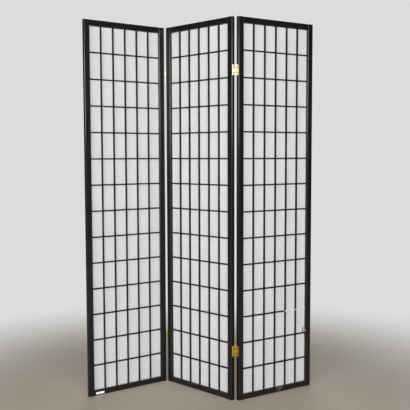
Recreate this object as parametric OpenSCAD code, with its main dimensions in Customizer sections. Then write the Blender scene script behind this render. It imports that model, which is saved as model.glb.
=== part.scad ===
// Three-panel folding room divider with a lattice and paper in each panel.
// The panels are joined by two-way hinges: each has a front pin and a back pin with a link plate
// between them, so that a joint folds either way.
// Each panel is drawn standing on z = 0, centred on x, with its front face towards -y.
// The middle panel's foot is the origin, and the other bodies are turned about their pins.

/* [Panel] */
// Height of each panel
panel_h = 1785; // [1200:5:2200]
// Width of each panel
panel_w = 433; // [320:1:600]
// Thickness of the stiles
stile_t = 19; // [17:0.5:28]
// Face width of the stiles
stile_w = 28.5; // [22:0.5:50]
// Face height of the top rail
top_rail_h = 28; // [22:0.5:70]
// Face height of the bottom rail
bottom_rail_h = 26; // [22:0.5:70]
// How far each rail face is set back from the stile faces
rail_setback = 0.5; // [0.2:0.1:1.2]
// Radius of the eased long edges
edge_r = 2.5; // [0.5:0.1:3.5]
// Length of the rail tenons
tenon_l = 14; // [8:0.5:16]
// Thickness of the rail tenons
tenon_t = 7; // [4:0.5:8]
// Shoulder above and below each rail tenon
tenon_shoulder = 5; // [4.5:0.5:7]
// Width of the rebate that takes the margin of the paper
rebate_w = 4; // [3:0.5:5]

/* [Lattice] */
// Columns of panes in a panel
columns = 6; // [2:1:8]
// Rows of panes in a panel
rows = 14; // [2:1:18]
// Face width of the lattice bars
bar_w = 6; // [4:0.5:9]
// Depth of the lattice bars
bar_d = 8; // [6:0.5:9]
// Thickness of the paper
paper_t = 0.4; // [0.3:0.1:1]
// Gap round the edge of the paper in its rebate
paper_clearance = 0.3; // [0.2:0.1:0.8]

/* [Broken crossbar] */
// Crossbar of the right panel that has lost its end, counted from the top, or 0 for none
broken_crossbar = 11; // [0:1:17]
// Upright before which the rest of that crossbar stops, counted from the left
broken_upright = 4; // [1:1:7]
// Depth of the splintered end
splinter_l = 5; // [1:0.5:9]

/* [Hinges] */
// Space between two panels laid out flat
panel_gap = 9; // [8:0.5:13]
// Height of each hinge
hinge_h = 48; // [40:1:80]
// Centre of the upper hinges below the panel's top
upper_hinge_drop = 241; // [60:1:400]
// Centre of the lower hinges above the floor
lower_hinge_rise = 236; // [60:1:400]
// Thickness of the hinge plates
plate_t = 1.2; // [0.8:0.1:1.5]
// Distance from the front and back edges of a stile to the leaf on it
leaf_inset = 0.5; // [0.3:0.1:1.5]
// Distance that the pin axes stand out from the panel faces
pin_proud = 0.5; // [0.4:0.1:1.5]
// Radius of the hinge pins
pin_r = 1.5; // [1:0.1:1.6]
// Radial running clearance of the pins in the leaf knuckles
pin_clearance = 0.05; // [0.02:0.01:0.1]
// Clearance between hinge parts that move past each other
knuckle_clearance = 0.3; // [0.3:0.05:0.5]
// Radius of the domed heads of the pins
pin_head_r = 2.2; // [1.8:0.1:2.8]
// Height of the heads of the pins
pin_head_h = 1; // [0.6:0.1:1.5]

/* [Screws] */
// Distance between the two screws of a leaf
screw_spacing = 24; // [18:0.5:28]
// Length of the screws
screw_l = 14; // [8:0.5:18]
// Radius of the screw shanks
screw_r = 1.2; // [0.9:0.1:1.4]
// Radius of the countersunk screw heads
screw_head_r = 2.4; // [2:0.1:2.8]
// Width of the slots in the screw heads
screw_slot_w = 0.7; // [0.4:0.1:1]
// Depth of the slots in the screw heads
screw_slot_d = 0.5; // [0.3:0.1:0.7]

/* [Label] */
// Width of the blank label on the left panel's bottom rail
label_w = 44; // [20:1:120]
// Height of the label
label_h = 11; // [8:0.5:14]
// Height of the label's lower edge above the floor
label_rise = 5.5; // [1:0.5:8]
// Thickness of the label
label_t = 0.3; // [0.2:0.1:0.6]
// Distance from the stile to the label
label_inset = 7.5; // [4:0.5:60]

/* [Pose] */
// Heading of the middle panel
middle_heading = -43; // [-70:0.5:0]
// Fold of the left joint, whose front pins are open
left_fold = 77.5; // [10:0.5:170]
// Fold of the right joint, whose back pins are open
right_fold = 74; // [10:0.5:170]

/* [Hidden] */
$fn = 48;
OVERRUN = 1; // how far a cutter runs past the face that it cuts
PAINT = "#242226";
BAR_PAINT = "#2b2424";
PAPER = "#e4e6ea";
BRASS = "#c9a95c";
PIN_BRASS = "#b8964a";
SCREW_BRASS = "#d8bf80";
LABEL_WHITE = "#f2f0ee";

open_w = panel_w - 2 * stile_w;
open_h = panel_h - top_rail_h - bottom_rail_h;
rail_t = stile_t - 2 * rail_setback;
cell_w = (open_w - (columns - 1) * bar_w) / columns;
cell_h = (open_h - (rows - 1) * bar_w) / rows;

pitch = panel_w + panel_gap;
joint_x = pitch / 2;
pin_y = stile_t / 2 + pin_proud;
knuckle_r = panel_gap / 2 - plate_t - knuckle_clearance;
KNUCKLES = 5;
slot_h = hinge_h / KNUCKLES;
knuckle_h = slot_h - knuckle_clearance;
web_t = pin_proud + leaf_inset + plate_t;
upper_z = panel_h - upper_hinge_drop;
lower_z = lower_hinge_rise;
HINGE_HEIGHTS = [upper_z, lower_z];
screw_head_h = screw_head_r - screw_r; // a 90 degree countersink

// Centre of upright i, counted from the left, and of crossbar j, counted from the top
function upright_x(i) = -open_w / 2 + i * cell_w + (i - 0.5) * bar_w;
function crossbar_z(j) = bottom_rail_h + open_h - j * cell_h - (j - 0.5) * bar_w;
// Heights of the two screws of a hinge, from the hinge's centre
SCREW_RISES = [-screw_spacing / 2, screw_spacing / 2];
// Slots of the knuckles, counted from the bottom: the leaves have the even ones, the link the odd
LEAF_SLOTS = [for (k = [0 : 2 : KNUCKLES - 1]) k];
LINK_SLOTS = [for (k = [1 : 2 : KNUCKLES - 1]) k];

// ---- Where each body stands ----

// The middle panel and what stays with it
module on_middle() {
    rotate([0, 0, middle_heading]) children();
}

// Turns about an upright axis through (x, y)
module turned_about(x, y, angle) {
    translate([x, y, 0]) rotate([0, 0, angle]) translate([-x, -y, 0]) children();
}

// The left panel's side of the left joint, folded forwards about the front pins
module on_left() {
    on_middle() turned_about(-joint_x, -pin_y, left_fold) children();
}

// The right panel's side of the right joint, folded backwards about the back pins
module on_right() {
    on_middle() turned_about(joint_x, pin_y, right_fold) children();
}

module in_left_panel() {
    on_left() translate([-pitch, 0, 0]) children();
}

module in_right_panel() {
    on_right() translate([pitch, 0, 0]) children();
}

// ---- Pieces of a panel ----

// A rectangle about the origin with eased corners
module eased_section(w, d, r) {
    square([w - 2 * r, d], center = true);
    square([w, d - 2 * r], center = true);
    for (x = [-w / 2 + r, w / 2 - r])
        for (y = [-d / 2 + r, d / 2 - r])
            translate([x, y]) circle(r);
}

// A tenon of a rail of height h that stands on z = 0, at the right stile, longer by extra
module tenon(h) {
    translate([open_w / 2 - OVERRUN, -tenon_t / 2, tenon_shoulder])
        cube([tenon_l + OVERRUN, tenon_t, h - 2 * tenon_shoulder]);
}

// The lattice bars before their notches are cut, which are also the cutters of their sockets: the
// crossbars end in the stiles and the uprights in the rails
module crossbar_blanks() {
    for (j = [1 : rows - 1])
        translate([-open_w / 2 - rebate_w, -bar_d / 2, crossbar_z(j) - bar_w / 2])
            cube([open_w + 2 * rebate_w, bar_d, bar_w]);
}

module upright_blanks() {
    for (i = [1 : columns - 1])
        translate([upright_x(i) - bar_w / 2, -bar_d / 2, bottom_rail_h - rebate_w])
            cube([bar_w, bar_d, open_h + 2 * rebate_w]);
}

// The rebate at the back of the opening that the margin of the paper lies in
module rebate() {
    translate([-open_w / 2 - rebate_w, bar_d / 2, bottom_rail_h - rebate_w])
        cube([open_w + 2 * rebate_w, stile_t, open_h + 2 * rebate_w]);
}

// side is 1 for the right stile and -1 for the left one; hinged cuts the pilot holes
module stile(side, hinged) {
    color(PAINT)
        mirror([side < 0 ? 1 : 0, 0, 0])
            difference() {
                translate([(panel_w - stile_w) / 2, 0, 0])
                    linear_extrude(panel_h) eased_section(stile_w, stile_t, edge_r);
                tenon(bottom_rail_h);
                translate([0, 0, panel_h - top_rail_h]) tenon(top_rail_h);
                crossbar_blanks();
                rebate();
                if (hinged)
                    for (z = HINGE_HEIGHTS)
                        translate([panel_w / 2, 0, z]) leaf_screws();
            }
}

// A rail of height h whose underside is at z0
module rail(z0, h) {
    difference() {
        translate([0, 0, z0]) {
            translate([-open_w / 2, 0, h / 2])
                rotate([90, 0, 90])
                    linear_extrude(open_w) eased_section(rail_t, h, edge_r);
            tenon(h);
            mirror([1, 0, 0]) tenon(h);
        }
        upright_blanks();
        rebate();
    }
}

module top_rail() {
    color(PAINT) rail(panel_h - top_rail_h, top_rail_h);
}

module bottom_rail() {
    color(PAINT) rail(0, bottom_rail_h);
}

// The notches are half laps: the crossbars lie in the front half of the uprights
module lattice_uprights() {
    color(BAR_PAINT)
        difference() {
            upright_blanks();
            for (j = [1 : rows - 1])
                translate([-open_w / 2, -bar_d / 2 - OVERRUN, crossbar_z(j) - bar_w / 2])
                    cube([open_w, bar_d / 2 + OVERRUN, bar_w]);
        }
}

// broken is the crossbar that has lost its end, or 0
module lattice_crossbars(broken) {
    color(BAR_PAINT)
        difference() {
            crossbar_blanks();
            for (i = [1 : columns - 1])
                translate([upright_x(i) - bar_w / 2, 0, bottom_rail_h])
                    cube([bar_w, bar_d / 2 + OVERRUN, open_h]);
            if (broken > 0) lost_end(broken);
        }
}

// What has gone from a broken crossbar, with a splintered end on what is left
module lost_end(j) {
    x = upright_x(min(broken_upright, columns - 1)) - bar_w / 2;
    translate([x, 0, crossbar_z(j)])
        rotate([90, 0, 0])
            linear_extrude(bar_d + 2 * OVERRUN, center = true)
                polygon([
                    [panel_w, -bar_w], [panel_w, bar_w], [-splinter_l, bar_w],
                    [-splinter_l / 4, bar_w / 5], [-splinter_l / 2, 0],
                    [0, -bar_w / 4], [-splinter_l / 3, -bar_w]
                ]);
}

// The sheet behind the lattice
module paper() {
    margin = rebate_w - paper_clearance;
    color(PAPER)
        translate([-open_w / 2 - margin, bar_d / 2, bottom_rail_h - margin])
            cube([open_w + 2 * margin, paper_t, open_h + 2 * margin]);
}

// A blank label on the front of the bottom rail
module label() {
    color(LABEL_WHITE)
        translate([-open_w / 2 + label_inset, -rail_t / 2 - label_t, label_rise])
            cube([label_w, label_t, label_h]);
}

// ---- Hinges ----
// A hinge is drawn flat, centred on its joint. The panel leaf of the left joint is on its -x side.

// One countersunk screw at the origin, pointing to -x, with its head's face at x = 0
module screw_form() {
    rotate([0, -90, 0]) {
        cylinder(r1 = screw_head_r, r2 = screw_r, h = screw_head_h);
        cylinder(r = screw_r, h = screw_l);
    }
}

// The two screws of a leaf, at the edge x = 0 of the panel on the -x side
module leaf_screws() {
    for (z = SCREW_RISES)
        translate([plate_t, 0, z]) screw_form();
}

// The screws of the leaf on the -x side of a hinge
module screws() {
    color(SCREW_BRASS)
        translate([-panel_gap / 2, 0, 0])
            difference() {
                leaf_screws();
                for (z = SCREW_RISES)
                    translate([plate_t, 0, z])
                        cube([2 * screw_slot_d, screw_slot_w, 3 * screw_head_r], center = true);
            }
}

function slot_z(k) = -hinge_h / 2 + k * slot_h + knuckle_clearance / 2;

// The leaf on the -x side, hung on the pin at y = -pin_y
module leaf() {
    leaf_d = stile_t - 2 * leaf_inset;
    color(BRASS)
        difference() {
            union() {
                translate([-panel_gap / 2, -leaf_d / 2, -hinge_h / 2])
                    cube([plate_t, leaf_d, hinge_h]);
                for (k = LEAF_SLOTS)
                    translate([0, -pin_y, slot_z(k)]) {
                        cylinder(r = knuckle_r, h = knuckle_h);
                        translate([-panel_gap / 2, 0, 0]) cube([panel_gap / 2, web_t, knuckle_h]);
                    }
            }
            translate([0, -pin_y, 0])
                cylinder(r = pin_r + pin_clearance, h = hinge_h + OVERRUN, center = true);
            translate([-panel_gap / 2, 0, 0]) leaf_screws();
        }
}

// The link between the two pins, with holes that let a driver reach the screws behind it
module link() {
    web_d = 2 * (pin_y - knuckle_r - knuckle_clearance);
    color(BRASS)
        difference() {
            union() {
                cube([plate_t, web_d, hinge_h], center = true);
                for (k = LINK_SLOTS)
                    for (side = [-1, 1]) {
                        translate([0, side * pin_y, slot_z(k)])
                            cylinder(r = knuckle_r, h = knuckle_h);
                        translate([-plate_t / 2, min(0, side * pin_y), slot_z(k)])
                            cube([plate_t, pin_y, knuckle_h]);
                    }
            }
            for (side = [-1, 1])
                translate([0, side * pin_y, 0])
                    cylinder(r = pin_r, h = hinge_h + OVERRUN, center = true);
            for (z = SCREW_RISES)
                translate([0, 0, z])
                    rotate([0, 90, 0])
                        cylinder(r = screw_head_r + knuckle_clearance, h = 2 * plate_t, center = true);
        }
}

// A dome on z = 0
module pin_head() {
    dome_r = (pin_head_r * pin_head_r + pin_head_h * pin_head_h) / (2 * pin_head_h);
    intersection() {
        translate([0, 0, pin_head_h - dome_r]) sphere(dome_r);
        cylinder(r = pin_head_r, h = pin_head_h);
    }
}

// side is -1 for the pin that the panel leaf hangs on and 1 for the other one
module hinge_pin(side) {
    head_z = hinge_h / 2 + knuckle_clearance;
    color(PIN_BRASS)
        translate([0, side * pin_y, 0]) {
            cylinder(r = pin_r, h = 2 * head_z, center = true);
            for (end = [0, 1])
                mirror([0, 0, end]) translate([0, 0, head_z]) pin_head();
        }
}

// The leaf and the screws on the +x side are those on the -x side turned half round
module turned() {
    rotate([0, 0, 180]) children();
}

// Hinges at height z in the left and the right joint, laid flat. The right one is the left one
// turned half round, so its panel leaf hangs on the back pin.
module at_left(z) {
    translate([-joint_x, 0, z]) children();
}

module at_right(z) {
    translate([joint_x, 0, z]) rotate([0, 0, 180]) children();
}

// ---- The object ----

// Left panel
in_left_panel() stile(-1, false);  // left_outer_stile
in_left_panel() stile(1, true);  // left_hinge_stile
in_left_panel() top_rail();  // left_top_rail
in_left_panel() bottom_rail();  // left_bottom_rail
in_left_panel() lattice_uprights();  // left_lattice_uprights
in_left_panel() lattice_crossbars(0);  // left_lattice_crossbars
in_left_panel() paper();  // left_paper
in_left_panel() label();  // left_label

// Middle panel
on_middle() stile(-1, true);  // middle_left_stile
on_middle() stile(1, true);  // middle_right_stile
on_middle() top_rail();  // middle_top_rail
on_middle() bottom_rail();  // middle_bottom_rail
on_middle() lattice_uprights();  // middle_lattice_uprights
on_middle() lattice_crossbars(0);  // middle_lattice_crossbars
on_middle() paper();  // middle_paper

// Right panel
in_right_panel() stile(-1, true);  // right_hinge_stile
in_right_panel() stile(1, false);  // right_outer_stile
in_right_panel() top_rail();  // right_top_rail
in_right_panel() bottom_rail();  // right_bottom_rail
in_right_panel() lattice_uprights();  // right_lattice_uprights
in_right_panel() lattice_crossbars(broken_crossbar);  // right_lattice_crossbars
in_right_panel() paper();  // right_paper

// Left joint, upper hinge
on_left() at_left(upper_z) leaf();  // left_upper_panel_leaf
on_left() at_left(upper_z) screws();  // left_upper_panel_screws
on_middle() at_left(upper_z) turned() leaf();  // left_upper_middle_leaf
on_middle() at_left(upper_z) turned() screws();  // left_upper_middle_screws
on_middle() at_left(upper_z) link();  // left_upper_link
on_middle() at_left(upper_z) hinge_pin(-1);  // left_upper_front_pin
on_middle() at_left(upper_z) hinge_pin(1);  // left_upper_back_pin

// Left joint, lower hinge
on_left() at_left(lower_z) leaf();  // left_lower_panel_leaf
on_left() at_left(lower_z) screws();  // left_lower_panel_screws
on_middle() at_left(lower_z) turned() leaf();  // left_lower_middle_leaf
on_middle() at_left(lower_z) turned() screws();  // left_lower_middle_screws
on_middle() at_left(lower_z) link();  // left_lower_link
on_middle() at_left(lower_z) hinge_pin(-1);  // left_lower_front_pin
on_middle() at_left(lower_z) hinge_pin(1);  // left_lower_back_pin

// Right joint, upper hinge
on_right() at_right(upper_z) leaf();  // right_upper_panel_leaf
on_right() at_right(upper_z) screws();  // right_upper_panel_screws
on_middle() at_right(upper_z) turned() leaf();  // right_upper_middle_leaf
on_middle() at_right(upper_z) turned() screws();  // right_upper_middle_screws
on_middle() at_right(upper_z) link();  // right_upper_link
on_middle() at_right(upper_z) hinge_pin(1);  // right_upper_front_pin
on_middle() at_right(upper_z) hinge_pin(-1);  // right_upper_back_pin

// Right joint, lower hinge
on_right() at_right(lower_z) leaf();  // right_lower_panel_leaf
on_right() at_right(lower_z) screws();  // right_lower_panel_screws
on_middle() at_right(lower_z) turned() leaf();  // right_lower_middle_leaf
on_middle() at_right(lower_z) turned() screws();  // right_lower_middle_screws
on_middle() at_right(lower_z) link();  // right_lower_link
on_middle() at_right(lower_z) hinge_pin(1);  // right_lower_front_pin
on_middle() at_right(lower_z) hinge_pin(-1);  // right_lower_back_pin
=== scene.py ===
"""A folding room divider of three panels: black satin frames, a dark lattice over white paper, brass hinges.

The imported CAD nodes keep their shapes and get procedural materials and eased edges. The paper of each
panel is a new sheet that puckers a little between the bars, and a sliver of a broken crossbar stands
against the right one. Lengths are in metres.
"""

import math
import random

import bmesh
import bpy
import numpy as np
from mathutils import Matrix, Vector


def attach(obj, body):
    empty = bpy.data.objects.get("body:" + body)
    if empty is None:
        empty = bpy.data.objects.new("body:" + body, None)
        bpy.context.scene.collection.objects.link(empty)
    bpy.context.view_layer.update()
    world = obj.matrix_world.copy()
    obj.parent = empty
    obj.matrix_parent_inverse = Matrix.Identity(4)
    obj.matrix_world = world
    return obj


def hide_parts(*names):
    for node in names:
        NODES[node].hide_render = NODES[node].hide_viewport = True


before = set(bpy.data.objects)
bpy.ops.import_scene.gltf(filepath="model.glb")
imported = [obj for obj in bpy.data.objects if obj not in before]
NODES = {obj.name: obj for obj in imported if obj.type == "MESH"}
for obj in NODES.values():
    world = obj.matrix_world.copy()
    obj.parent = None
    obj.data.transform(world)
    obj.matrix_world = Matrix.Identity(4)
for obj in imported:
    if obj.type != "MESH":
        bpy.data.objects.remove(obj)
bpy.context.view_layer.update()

MM = 0.001
COLUMNS = 6
ROWS = 14
BAR_W = 6 * MM
BROKEN_CROSSBAR = 11  # counted from the top of the right panel
BROKEN_UPRIGHT = 4  # counted from the left: the broken crossbar ends before it

# ---- Where the panels stand ----


class Panel:
    """A panel's own directions and outline, worked out from its paper and its rails."""

    def __init__(self, name):
        self.name = name
        self.body = name + "_panel"
        paper = vertices(name + "_paper")
        flat = paper[:, :2] - paper[:, :2].mean(0)
        across = np.linalg.svd(flat, full_matrices=False)[2][0]
        if across[0] < 0:
            across = -across
        self.across = Vector((*across, 0))
        self.front = Vector((across[1], -across[0], 0))
        self.heading = math.atan2(across[1], across[0])
        self.centre = Vector((*vertices(name + "_top_rail")[:, :2].mean(0), 0))
        middle_of_outline = self.span_of(self.centre, name + "_bottom_rail", name + "_top_rail")
        self.centre += self.across * middle_of_outline

    def span_of(self, centre, *nodes):
        """How far the middle of these nodes is from a point, to the right."""
        along = np.concatenate([vertices(n) for n in nodes]) @ np.array(self.across) - centre @ self.across
        return (along.min() + along.max()) / 2

    def extent(self, node):
        """(lowest, highest) of a node to the right, to the front and upwards, from the panel's foot."""
        away = vertices(node) - np.array(self.centre)
        own = np.stack([away @ np.array(self.across), away @ np.array(self.front), away[:, 2]], axis=1)
        return own.min(0), own.max(0)

    def point(self, right, front, up):
        return self.centre + self.across * right + self.front * front + Vector((0, 0, up))


def vertices(node):
    mesh = NODES[node].data
    co = np.zeros(len(mesh.vertices) * 3, np.float32)
    mesh.vertices.foreach_get("co", co)
    return co.reshape(-1, 3).astype(float)


PANELS = {name: Panel(name) for name in ("left", "middle", "right")}

# ---- Building materials from nodes ----


class Finish:
    """A material under construction, with short calls for the nodes that the finishes below share."""

    def __init__(self, name, heading=0.0):
        self.material = bpy.data.materials.new(name)
        self.material.use_nodes = True
        self.tree = self.material.node_tree
        self.shader = self.tree.nodes["Principled BSDF"]
        self.heading = heading
        self.place = self.node("ShaderNodeTexCoord").outputs["Object"]

    def node(self, kind, **settings):
        made = self.tree.nodes.new(kind)
        for key, value in settings.items():
            setattr(made, key, value)
        return made

    def put(self, socket, value):
        """Links value to the socket if it is another node's output, or sets it."""
        if isinstance(value, bpy.types.NodeSocket):
            self.tree.links.new(value, socket)
        else:
            socket.default_value = value

    def feature(self, *size):
        """Coordinates in which one unit is this size to the right, to the back and upwards of the panel."""
        mapping = self.node("ShaderNodeMapping", vector_type="TEXTURE")
        self.put(mapping.inputs["Vector"], self.place)
        mapping.inputs["Rotation"].default_value = (0, 0, self.heading)
        mapping.inputs["Scale"].default_value = size
        return mapping.outputs["Vector"]

    def noise(self, where, detail=3.0, rough=0.5, twist=0.0):
        made = self.node("ShaderNodeTexNoise")
        self.put(made.inputs["Vector"], where)
        made.inputs["Scale"].default_value = 1.0
        made.inputs["Detail"].default_value = detail
        made.inputs["Roughness"].default_value = rough
        made.inputs["Distortion"].default_value = twist
        return made.outputs["Fac"]

    def between(self, value, low, high, to_low=0.0, to_high=1.0, smooth=True):
        """value from low to high becomes to_low to to_high, held beyond."""
        kind = "SMOOTHSTEP" if smooth else "LINEAR"
        made = self.node("ShaderNodeMapRange", interpolation_type=kind)
        self.put(made.inputs["Value"], value)
        made.inputs["From Min"].default_value = low
        made.inputs["From Max"].default_value = high
        made.inputs["To Min"].default_value = to_low
        made.inputs["To Max"].default_value = to_high
        return made.outputs["Result"]

    def math(self, operation, a, b=0.0):
        made = self.node("ShaderNodeMath", operation=operation)
        self.put(made.inputs[0], a)
        self.put(made.inputs[1], b)
        return made.outputs[0]

    def blend(self, share, a, b):
        """Colour a where share is 0 and colour b where it is 1."""
        made = self.node("ShaderNodeMix", data_type="RGBA")
        self.put(made.inputs["Factor"], share)
        self.put(made.inputs["A"], a)
        self.put(made.inputs["B"], b)
        return made.outputs["Result"]

    def bump(self, height, distance, below=None):
        made = self.node("ShaderNodeBump")
        made.inputs["Strength"].default_value = 1.0
        made.inputs["Distance"].default_value = distance
        self.put(made.inputs["Height"], height)
        if below is not None:
            self.put(made.inputs["Normal"], below)
        return made.outputs["Normal"]

    def near(self, points, radius, ragged):
        """1 within radius of any of the points, with a ragged outline."""
        speckle = self.noise(self.feature(ragged, ragged, ragged))
        rough_edge = self.between(speckle, 0.3, 0.7, -0.4, 0.4, smooth=False)
        total = None
        for point in points:
            distance = self.node("ShaderNodeVectorMath", operation="DISTANCE")
            self.put(distance.inputs[0], self.place)
            distance.inputs[1].default_value = point
            share = self.math("DIVIDE", distance.outputs["Value"], radius)
            spot = self.between(self.math("ADD", share, rough_edge), 0.9, 1.1, 1.0, 0.0)
            total = spot if total is None else self.math("MAXIMUM", total, spot)
        return total

    def finish(self, **sockets):
        for name, value in sockets.items():
            self.put(self.shader.inputs[name.replace("_", " ").title().replace("Ior", "IOR")], value)
        return self.material


def rgb(*values):
    return (*values, 1.0)


# ---- Finishes ----

BARE_WOOD = rgb(0.56, 0.49, 0.40)
PALE_WOOD = rgb(0.72, 0.67, 0.59)
WORN_EDGE = rgb(0.060, 0.050, 0.043)
SCUFFED = rgb(0.085, 0.083, 0.085)
PAPER_TONES = (rgb(0.775, 0.770, 0.780), rgb(0.797, 0.793, 0.807))
PAPER_FIBRE = rgb(0.90, 0.90, 0.89)
LABEL_TONES = (rgb(0.76, 0.74, 0.80), rgb(0.68, 0.66, 0.71))
# Dark brown for brass: real grime in random specks, and painted shade round screw heads and the link's holes
GRIME_AND_HOLE_SHADE = rgb(0.10, 0.065, 0.025)
HOLE_SHADE_R = 3.8 * MM  # of each painted shade spot round a screw head and round a hole of the link
THROUGH_SHARE = 0.45  # how much of the paper's light is light from behind it
FIBRE_TURNS = (0.3, 1.2, 2.2)  # directions of the paper's fibres, in radians
BRUSH_MARKS = 0.015 * MM
PAPER_TOOTH = 0.05 * MM
LABEL_TOOTH = 0.02 * MM


def grain(finish, upright, width, length):
    """Coordinates stretched along the grain of an upright or a level piece."""
    return finish.feature(width, width, length) if upright else finish.feature(length, width, width)


def painted_wood(name, panel, upright, tones, gloss, varnish, bare=(), bare_r=0.0, scuffs=()):
    """Thin dark paint over wood: streaks and pores along the grain, smudges, bare and scuffed spots."""
    f = Finish(name, panel.heading)
    streaks = f.noise(grain(f, upright, 1.6 * MM, 90 * MM), 4, 0.6, 0.3)
    pores = f.noise(grain(f, upright, 0.35 * MM, 9 * MM), 2, 0.6)
    clouds = f.noise(f.feature(45 * MM, 45 * MM, 70 * MM), 3)
    smudges = f.noise(f.feature(18 * MM, 18 * MM, 26 * MM), 4, 0.6, 0.6)
    rubbed = f.between(f.noise(f.feature(5 * MM, 5 * MM, 9 * MM), 5, 0.7), 0.66, 0.78)

    dark, light = tones
    shade = f.math("ADD", f.math("MULTIPLY", streaks, 0.6), f.math("MULTIPLY", clouds, 0.4))
    colour = f.blend(f.between(shade, 0.36, 0.64), dark, light)
    colour = f.blend(f.math("MULTIPLY", rubbed, 0.35), colour, WORN_EDGE)
    low, high = gloss
    roughness = f.between(smudges, 0.3, 0.7, low, high)
    height = f.math("ADD", f.math("MULTIPLY", streaks, 0.5), f.math("MULTIPLY", pores, 0.5))
    for point, radius in scuffs:
        scuffed = f.near([point], radius, 4 * MM)
        streaky = f.between(f.noise(grain(f, upright, 1.5 * MM, 8 * MM), 4), 0.4, 0.6)
        patchy = f.math("MULTIPLY", scuffed, streaky)
        colour = f.blend(patchy, colour, SCUFFED)
        roughness = f.math("MAXIMUM", roughness, f.math("MULTIPLY", patchy, 0.8))
    if bare:
        torn = f.near(bare, bare_r, 1.2 * MM)
        fibres = f.noise(grain(f, upright, 0.4 * MM, 6 * MM), 4, 0.6)
        wood = f.blend(f.between(fibres, 0.35, 0.65), BARE_WOOD, PALE_WOOD)
        colour = f.blend(torn, colour, wood)
        roughness = f.math("MAXIMUM", roughness, f.math("MULTIPLY", torn, 0.85))
    return f.finish(
        base_color=colour,
        roughness=roughness,
        normal=f.bump(height, BRUSH_MARKS),
        specular_ior_level=0.12,
        coat_weight=varnish,
        coat_roughness=0.15,
    )


def washi(name, panel):
    """White paper with fibres, soft clouds and a little light coming through."""
    f = Finish(name, panel.heading)
    clouds = f.noise(f.feature(30 * MM, 30 * MM, 42 * MM), 4, 0.55)
    streaks = f.noise(f.feature(5 * MM, 5 * MM, 120 * MM), 3, 0.5, 0.4)
    tooth = f.noise(f.feature(0.7 * MM, 0.7 * MM, 0.9 * MM), 3, 0.7)
    fibres = None
    for turn in FIBRE_TURNS:
        mapping = f.node("ShaderNodeMapping", vector_type="TEXTURE")
        f.put(mapping.inputs["Vector"], f.feature(1, 1, 1))
        mapping.inputs["Rotation"].default_value = (0, turn, 0)
        mapping.inputs["Scale"].default_value = (22 * MM, 4 * MM, 4 * MM)
        strand = f.noise(mapping.outputs["Vector"], 2, 0.5, 1.2)
        thin = f.between(f.math("ABSOLUTE", f.math("SUBTRACT", strand, 0.5)), 0.004, 0.012, 1.0, 0.0)
        fibres = thin if fibres is None else f.math("MAXIMUM", fibres, thin)
    tone = f.math("ADD", f.math("MULTIPLY", clouds, 0.6), f.math("MULTIPLY", streaks, 0.4))
    colour = f.blend(f.between(tone, 0.38, 0.62), *PAPER_TONES)
    colour = f.blend(f.math("MULTIPLY", fibres, 0.3), colour, PAPER_FIBRE)
    height = f.math("ADD", f.math("MULTIPLY", tooth, 0.5), f.math("MULTIPLY", fibres, 0.3))
    normal = f.bump(height, PAPER_TOOTH)
    material = f.finish(
        base_color=colour,
        roughness=f.between(tooth, 0.3, 0.7, 0.72, 0.9),
        normal=normal,
        specular_ior_level=0.25,
    )
    through = f.node("ShaderNodeBsdfTranslucent")
    f.put(through.inputs["Color"], colour)
    f.put(through.inputs["Normal"], normal)
    mixed = f.node("ShaderNodeMixShader")
    mixed.inputs["Fac"].default_value = THROUGH_SHARE
    f.put(mixed.inputs[1], f.shader.outputs["BSDF"])
    f.put(mixed.inputs[2], through.outputs["BSDF"])
    f.put(f.tree.nodes["Material Output"].inputs["Surface"], mixed.outputs["Shader"])
    return material


def brass(name, heading, tones, brushed, gloss, grime, heads=()):
    """Brass with fine brush lines upwards, slight tarnish in clouds, dark grime in spots, and painted shade
    round the given screw heads and holes.
    """
    f = Finish(name, heading)
    lines = f.noise(f.feature(0.12 * MM, 0.12 * MM, 14 * MM), 3, 0.6)
    clouds = f.noise(f.feature(6 * MM, 6 * MM, 9 * MM), 4, 0.6)
    spots = f.between(f.noise(f.feature(1.6 * MM, 1.6 * MM, 1.6 * MM), 3, 0.6), 0.62, 0.72)
    colour = f.blend(f.between(clouds, 0.35, 0.68), *tones)
    colour = f.blend(f.math("MULTIPLY", spots, grime), colour, GRIME_AND_HOLE_SHADE)
    if heads:
        # painted shade: dark spots round the screw heads and the link's holes
        colour = f.blend(f.near(heads, HOLE_SHADE_R, 1.5 * MM), colour, GRIME_AND_HOLE_SHADE)
    low, high = gloss
    wear = f.math("ADD", f.math("MULTIPLY", lines, 0.5), f.math("MULTIPLY", clouds, 0.5))
    roughness = f.between(wear, 0.35, 0.65, low, high)
    return f.finish(
        base_color=colour,
        metallic=1.0,
        roughness=roughness,
        normal=f.bump(lines, brushed),
    )


def label_stock(name, panel):
    """Matt white label with faint mottling."""
    f = Finish(name, panel.heading)
    mottling = f.noise(f.feature(3 * MM, 3 * MM, 3 * MM), 4, 0.6)
    tooth = f.noise(f.feature(0.3 * MM, 0.3 * MM, 0.3 * MM), 2)
    colour = f.blend(f.between(mottling, 0.35, 0.7), *LABEL_TONES)
    return f.finish(
        base_color=colour,
        roughness=f.between(tooth, 0.3, 0.7, 0.55, 0.7),
        normal=f.bump(tooth, LABEL_TOOTH),
    )


# ---- The CAD nodes ----


def soften(obj, width, segments=2):
    """Eases the sharp edges of a CAD piece by a small bevel."""
    weld = obj.modifiers.new("join_faces", "WELD")
    weld.merge_threshold = 0.001 * MM
    planar = obj.modifiers.new("merge_flats", "DECIMATE")
    planar.decimate_type = "DISSOLVE"
    planar.angle_limit = math.radians(0.5)
    bevel = obj.modifiers.new("eased_edges", "BEVEL")
    bevel.width = width
    bevel.segments = segments
    bevel.limit_method = "ANGLE"
    bevel.angle_limit = math.radians(40)
    shading = obj.modifiers.new("weighted_normals", "WEIGHTED_NORMAL")
    shading.mode = "FACE_AREA"
    shading.weight = 100


def paint(node, material):
    slots = NODES[node].data.materials
    slots.clear()
    slots.append(material)


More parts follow.
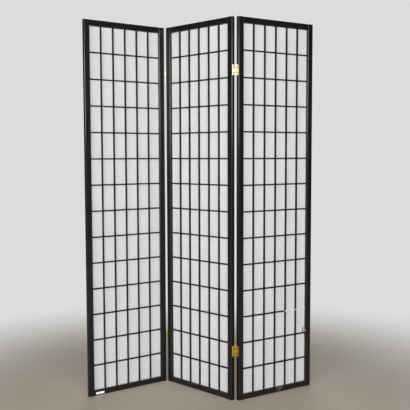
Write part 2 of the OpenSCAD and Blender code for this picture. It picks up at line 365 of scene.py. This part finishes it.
FRAME_TONES = (rgb(0.0042, 0.0038, 0.0042), rgb(0.0084, 0.0075, 0.0079))
BAR_TONES = (rgb(0.0095, 0.0058, 0.0053), rgb(0.0200, 0.0122, 0.0110))
FRAME_GLOSS = (0.34, 0.46)  # roughness, from the smoothest spots to the dullest
BAR_GLOSS = (0.45, 0.6)
FRAME_VARNISH = 0.6
BAR_VARNISH = 0.0

STILE_EASE = 0.5 * MM
RAIL_EASE = 0.4 * MM
BAR_EASE = 0.35 * MM
BRASS_EASE = 0.15 * MM

# Bare wood where the crossbar broke off, and scuffs on the right panel's bottom rail
NOTCH_R = 4.2 * MM
NOTCH_DEPTH = 2 * MM  # in front of the panel's middle plane
BREAK_R = 3.6 * MM
BREAK_SETBACK = 4 * MM  # from the upright to the end of the broken crossbar
NICK_R = 3.2 * MM
NICK_DEPTH = 4 * MM  # in front of the panel's middle plane
NICK_RISE = 12 * MM  # above the crossbar below the broken one
SCUFF_DEPTH = 9 * MM  # in front of the panel's middle plane
SCUFFS = [(18 * MM, 22 * MM, 14 * MM), (34 * MM, 20 * MM, 12 * MM)]  # right, up, radius

SPLINTER_H = 32 * MM
SPLINTER_W = 5.5 * MM
SPLINTER_INSET = 12 * MM  # from the outer stile
SPLINTER_LEAN = 1 * MM
SPLINTER_DEPTH = -2 * MM  # behind the panel's middle plane, so negative
SPLINTER_TIP = 0.1 * MM
SPLINTER_EASE = 0.1 * MM
SPLINTER_STEPS = 9
SPLINTER_RING = ((-1, -0.5), (1, -0.7), (0.6, 0.6), (-0.8, 0.5))  # its uneven section
SPLINTER_SEED = 3


def bar_places(panel):
    """A panel's (upright places, crossbar heights, (foot, head) of its opening, width of its opening)."""
    open_low = panel.extent(panel.name + "_bottom_rail")[1][2]
    open_high = panel.extent(panel.name + "_top_rail")[0][2]
    low, high = panel.extent(panel.name + "_lattice_uprights")
    open_w = (high[0] - low[0] - BAR_W) / (COLUMNS - 2) * COLUMNS - BAR_W
    pitch_x = (open_w + BAR_W) / COLUMNS
    pitch_z = (open_high - open_low + BAR_W) / ROWS
    uprights = [low[0] + BAR_W / 2 + i * pitch_x for i in range(COLUMNS - 1)]
    crossbars = [open_high + BAR_W / 2 - (j + 1) * pitch_z for j in range(ROWS - 1)]
    return uprights, crossbars, (open_low, open_high), open_w


def damage(panel):
    """Places of the bare wood and the scuffs of the right panel: notches, ends, nick, scuffs."""
    uprights, crossbars, _, open_w = bar_places(panel)
    height = crossbars[BROKEN_CROSSBAR - 1]
    below = crossbars[BROKEN_CROSSBAR]
    notches = [panel.point(x, NOTCH_DEPTH, height) for x in uprights[BROKEN_UPRIGHT - 1:]]
    ends = [panel.point(uprights[BROKEN_UPRIGHT - 1] - BREAK_SETBACK, 0, height)]
    nick = [panel.point(open_w / 2, NICK_DEPTH, below + NICK_RISE)]
    scuffs = [(panel.point(x, SCUFF_DEPTH, z), radius) for x, z, radius in SCUFFS]
    return notches, ends, nick, scuffs


def dress_panel(panel):
    name = panel.name
    broken = name == "right"
    notches, ends, nick, scuffs = damage(panel) if broken else ((), (), (), ())
    frame_finish = (FRAME_TONES, FRAME_GLOSS, FRAME_VARNISH)
    bar_finish = (BAR_TONES, BAR_GLOSS, BAR_VARNISH)
    frame_up = painted_wood(name + "_frame_upright", panel, True, *frame_finish, nick, NICK_R)
    frame_level = painted_wood(name + "_frame_level", panel, False, *frame_finish, scuffs=scuffs)
    bars_up = painted_wood(name + "_bars_upright", panel, True, *bar_finish, notches, NOTCH_R)
    bars_level = painted_wood(name + "_bars_level", panel, False, *bar_finish, ends, BREAK_R)
    if broken:
        _, crossbars, _, open_w = bar_places(panel)
        splinter(panel, open_w / 2, crossbars[BROKEN_CROSSBAR] + BAR_W / 2, bars_up)
    for node in NODES:
        if not node.startswith(name):
            continue
        if node.endswith("_stile"):
            paint(node, frame_up)
            soften(NODES[node], STILE_EASE)
        elif node.endswith("_rail"):
            paint(node, frame_level)
            soften(NODES[node], RAIL_EASE)
        elif node.endswith("_lattice_uprights"):
            paint(node, bars_up)
            soften(NODES[node], BAR_EASE)
        elif node.endswith("_lattice_crossbars"):
            paint(node, bars_level)
            soften(NODES[node], BAR_EASE)
        elif node.endswith("_label"):
            paint(node, label_stock(name + "_label_stock", panel))


def splinter(panel, edge, foot, material):
    """A pointed sliver of a lost crossbar, standing on the next one against the paper."""
    chance = random.Random(SPLINTER_SEED)
    mesh = bmesh.new()
    rings = []
    for k in range(SPLINTER_STEPS + 1):
        share = k / SPLINTER_STEPS
        half = SPLINTER_W / 2 * (1 - share) ** 0.45 * chance.uniform(0.75, 1.0) + SPLINTER_TIP
        middle = edge - SPLINTER_INSET - SPLINTER_LEAN * share + chance.uniform(-0.3, 0.3) * MM
        up = foot + SPLINTER_H * share
        ring = [(half * x, half * y) for x, y in SPLINTER_RING]
        rings.append([mesh.verts.new(panel.point(middle + x, SPLINTER_DEPTH + y, up)) for x, y in ring])
    for a, b in zip(rings, rings[1:]):
        for k in range(4):
            mesh.faces.new((a[k - 1], a[k], b[k], b[k - 1]))
    mesh.faces.new(rings[0])
    mesh.faces.new(rings[-1][::-1])
    bmesh.ops.recalc_face_normals(mesh, faces=mesh.faces)
    data = bpy.data.meshes.new("right_splinter")
    mesh.to_mesh(data)
    mesh.free()
    sliver = bpy.data.objects.new("right_splinter", data)
    bpy.context.scene.collection.objects.link(sliver)
    data.materials.append(material)
    soften(sliver, SPLINTER_EASE, 1)
    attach(sliver, panel.body)


# Each pair of tones is bright and tarnished brass. The upper hinges' pale cream is a painted reflection of
# the bright front lamp, and the lower hinges' deep gold is a painted reflection of the brown floor.
UPPER_BRASS_LAMP_REFLECTION = (rgb(0.56, 0.52, 0.39), rgb(0.44, 0.39, 0.26))
LOWER_BRASS_FLOOR_REFLECTION = (rgb(0.86, 0.66, 0.17), rgb(0.62, 0.43, 0.09))
PIN_BRASS = (rgb(0.88, 0.70, 0.40), rgb(0.64, 0.45, 0.20))
# The screws' near-black brown is partly tarnish and partly painted shade of the holes they sit in.
SCREW_TARNISH_AND_HOLE_SHADE = (rgb(0.16, 0.11, 0.055), rgb(0.09, 0.06, 0.03))
PLATE_LINES = 0.02 * MM
PIN_LINES = 0.01 * MM
PLATE_GLOSS = (0.24, 0.42)
PIN_GLOSS = (0.2, 0.36)
SCREW_GLOSS = (0.3, 0.5)


def head_places(screws):
    """Middles of the heads of a leaf's two screws, which are at the end towards the joint."""
    joint, _, side, _ = screws.split("_")
    panel = PANELS["middle" if side == "middle" else joint]
    low, high = panel.extent(screws)
    right_end = (joint == "left") == (side == "panel")
    across = high[0] if right_end else low[0]
    head_r = (high[1] - low[1]) / 2
    return [panel.point(across, (low[1] + high[1]) / 2, z) for z in (low[2] + head_r, high[2] - head_r)]


def dress_hinges():
    heading = PANELS["middle"].heading
    for joint in ("left", "right"):
        # upper hinges carry a painted lamp reflection in their colour, lower hinges a painted floor
        # reflection
        for height, tones in (("upper", UPPER_BRASS_LAMP_REFLECTION), ("lower", LOWER_BRASS_FLOOR_REFLECTION)):
            hinge = joint + "_" + height
            panel_heads = head_places(hinge + "_panel_screws")
            middle_heads = head_places(hinge + "_middle_screws")
            link = vertices(hinge + "_link").mean(0)
            holes = [Vector((link[0], link[1], head[2])) for head in middle_heads]
            # places of the painted shade spots: screw heads, and the holes of the link over the middle
            # screws
            heads = [*panel_heads, *middle_heads, *holes]
            plate = brass(hinge + "_plate", heading, tones, PLATE_LINES, PLATE_GLOSS, 0.5, heads)
            for kind in ("panel_leaf", "middle_leaf", "link"):
                paint(hinge + "_" + kind, plate)
    pin = brass("hinge_pin", heading, PIN_BRASS, PIN_LINES, PIN_GLOSS, 0.6)
    # screws: tarnish with painted shade of their holes in the colour
    screw = brass("hinge_screw", heading, SCREW_TARNISH_AND_HOLE_SHADE, PIN_LINES, SCREW_GLOSS, 0.8)
    for node in NODES:
        kind = node.split("_")[-1]
        if kind == "pin":
            paint(node, pin)
        if kind == "screws":
            paint(node, screw)
        if kind in ("leaf", "link", "pin", "screws"):
            soften(NODES[node], BRASS_EASE)


# ---- Paper ----

PANE_STEPS = (6, 8)  # divisions of the sheet across and up each pane
PUCKER = 0.45 * MM  # how far the paper of a pane stands out at most, either way
PAPER_SEED = 7


def paper_sheet(panel):
    """A thin closed sheet in the CAD paper's place, tight on the bars and slightly puckered between them."""
    low, high = panel.extent(panel.name + "_paper")
    uprights, crossbars, (open_low, open_high), open_w = bar_places(panel)
    chance = random.Random(PAPER_SEED + len(panel.name))
    columns = [-open_w / 2, *uprights, open_w / 2]
    rows = [open_low, *reversed(crossbars), open_high]
    across = stations(low[0], high[0], columns, PANE_STEPS[0])
    up = stations(low[2], high[2], rows, PANE_STEPS[1])
    swell = {}
    for i in range(len(columns) - 1):
        for j in range(len(rows) - 1):
            swell[i, j] = (chance.uniform(-1, 1), chance.uniform(-0.5, 0.5), chance.uniform(0, math.tau))
    mesh = bmesh.new()
    faces = []
    for depth, outward in ((high[1], 1), (low[1], -1)):
        grid = []
        for z in up:
            row = [panel.point(x, depth + stand_out(x, z, columns, rows, swell), z) for x in across]
            grid.append([mesh.verts.new(place) for place in row])
        faces.append(grid)
        for a, b in zip(grid, grid[1:]):
            for k in range(len(across) - 1):
                corners = (a[k], a[k + 1], b[k + 1], b[k])
                mesh.faces.new(corners if outward > 0 else corners[::-1])
    front, back = faces
    rim_front = rim(front)
    rim_back = rim(back)
    for k in range(len(rim_front)):
        a, b = rim_front[k - 1], rim_front[k]
        c, d = rim_back[k], rim_back[k - 1]
        mesh.faces.new((b, a, d, c))
    bmesh.ops.recalc_face_normals(mesh, faces=mesh.faces)
    data = bpy.data.meshes.new(panel.name + "_paper_sheet")
    mesh.to_mesh(data)
    mesh.free()
    data.shade_smooth()
    data.set_sharp_from_angle(angle=math.radians(50))
    sheet = bpy.data.objects.new(panel.name + "_paper_sheet", data)
    bpy.context.scene.collection.objects.link(sheet)
    data.materials.append(washi(panel.name + "_washi", panel))
    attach(sheet, panel.body)
    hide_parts(panel.name + "_paper")


def rim(grid):
    """The edge of a grid of vertices, once round."""
    return [*grid[0], *(row[-1] for row in grid[1:]), *grid[-1][-2::-1], *(row[0] for row in grid[-2:0:-1])]


def stations(low, high, lines, steps):
    """Places from low to high: the sheet's edges, and each stretch between two lines in equal steps."""
    made = [low]
    for a, b in zip(lines, lines[1:]):
        made += [a + (b - a) * k / steps for k in range(steps)]
    return [*made, lines[-1], high]


def stand_out(x, z, columns, rows, swell):
    """How far the sheet stands out at a place: nothing on the bars, most in the middle of a pane."""
    if not (columns[0] < x < columns[-1] and rows[0] < z < rows[-1]):
        return 0.0
    i = next(k for k in range(len(columns) - 1) if x <= columns[k + 1])
    j = next(k for k in range(len(rows) - 1) if z <= rows[k + 1])
    u = clear_share(x, columns[i], columns[i + 1])
    v = clear_share(z, rows[j], rows[j + 1])
    lift, ripple, phase = swell[i, j]
    dome = math.sin(math.pi * u) * math.sin(math.pi * v)
    return PUCKER * dome * (lift + ripple * math.sin(2 * math.pi * v + phase))


def clear_share(place, a, b):
    """0 to 1 across the pane between two bars, leaving out the halves of the bars."""
    return min(1.0, max(0.0, (place - a - BAR_W / 2) / (b - a - BAR_W)))


# ---- Studio ----

WALL = 0.72  # brightness of the backdrop
SURROUND = 0.05  # brightness of the room beside it
FLOOR = rgb(0.43, 0.38, 0.31)
FLOOR_SIZE = 60
FLOOR_FADE = (0.8, 2.2)  # where the floor starts and ends turning into the backdrop, from the middle
# Each lamp: name, place, point it faces, (width, height), watts
LAMPS = [
    ("front_windows", (-0.5, -4.9, 2.0), (-0.5, 0, 1.5), (9.0, 1.2), 490),
    ("front_fill", (-3.5, -3.6, 0.9), (0, 0, 0.7), (1.6, 1.6), 35),
    ("back_fill", (0.3, 4.2, 1.6), (0, 0, 0.9), (4.0, 2.4), 90),
]
LENS = 61.07  # focal length in millimetres on a sensor 36 mm wide
SENSOR_W = 36
LENS_SHIFT = (0.005, 0.001)
EYE = (0.0182, -3.3619, 1.158)
LOOK_DOWN = 4.17  # degrees below level
LOOK_TILT = 0.165  # degrees of roll


def studio_floor():
    bpy.ops.mesh.primitive_plane_add(size=FLOOR_SIZE, location=(0, 0, 0))
    floor = bpy.context.object
    floor.name = "studio_floor"
    f = Finish("studio_floor")
    distance = f.node("ShaderNodeVectorMath", operation="LENGTH")
    f.put(distance.inputs[0], f.place)
    path = f.node("ShaderNodeLightPath")
    faded = f.between(distance.outputs["Value"], *FLOOR_FADE)
    far = f.math("MULTIPLY", faded, path.outputs["Is Camera Ray"])
    f.finish(base_color=FLOOR, roughness=0.7, specular_ior_level=0.2)
    glow = f.node("ShaderNodeEmission")
    glow.inputs["Color"].default_value = rgb(WALL, WALL, WALL)
    mixed = f.node("ShaderNodeMixShader")
    f.put(mixed.inputs["Fac"], far)
    f.put(mixed.inputs[1], f.shader.outputs["BSDF"])
    f.put(mixed.inputs[2], glow.outputs["Emission"])
    f.put(f.tree.nodes["Material Output"].inputs["Surface"], mixed.outputs["Shader"])
    floor.data.materials.append(f.material)


def softbox(name, place, aim, size, power):
    data = bpy.data.lights.new(name, "AREA")
    data.shape = "RECTANGLE"
    data.size, data.size_y = size
    data.energy = power
    lamp = bpy.data.objects.new(name, data)
    lamp.location = place
    lamp.rotation_euler = (Vector(aim) - Vector(place)).to_track_quat("-Z", "Y").to_euler()
    lamp.visible_camera = False
    bpy.context.scene.collection.objects.link(lamp)


def studio_light():
    world = bpy.data.worlds.new("studio")
    world.use_nodes = True
    tree = world.node_tree
    around = tree.nodes["Background"]
    around.inputs["Color"].default_value = rgb(SURROUND, SURROUND, SURROUND)
    seen = tree.nodes.new("ShaderNodeBackground")
    seen.inputs["Color"].default_value = rgb(WALL, WALL, WALL)
    path = tree.nodes.new("ShaderNodeLightPath")
    mixed = tree.nodes.new("ShaderNodeMixShader")
    tree.links.new(path.outputs["Is Camera Ray"], mixed.inputs["Fac"])
    tree.links.new(around.outputs["Background"], mixed.inputs[1])
    tree.links.new(seen.outputs["Background"], mixed.inputs[2])
    tree.links.new(mixed.outputs["Shader"], tree.nodes["World Output"].inputs["Surface"])
    bpy.context.scene.world = world
    for lamp in LAMPS:
        softbox(*lamp)


def camera():
    data = bpy.data.cameras.new("camera")
    data.lens = LENS
    data.sensor_width = SENSOR_W
    data.shift_x, data.shift_y = LENS_SHIFT
    eye = bpy.data.objects.new("camera", data)
    eye.location = EYE
    eye.rotation_euler = (math.radians(90 - LOOK_DOWN), math.radians(LOOK_TILT), 0)
    bpy.context.scene.collection.objects.link(eye)
    bpy.context.scene.camera = eye


camera()
for each in PANELS.values():
    dress_panel(each)
    paper_sheet(each)
dress_hinges()
studio_floor()
studio_light()
bpy.context.scene.view_settings.view_transform = "Standard"

bpy.context.view_layer.update()
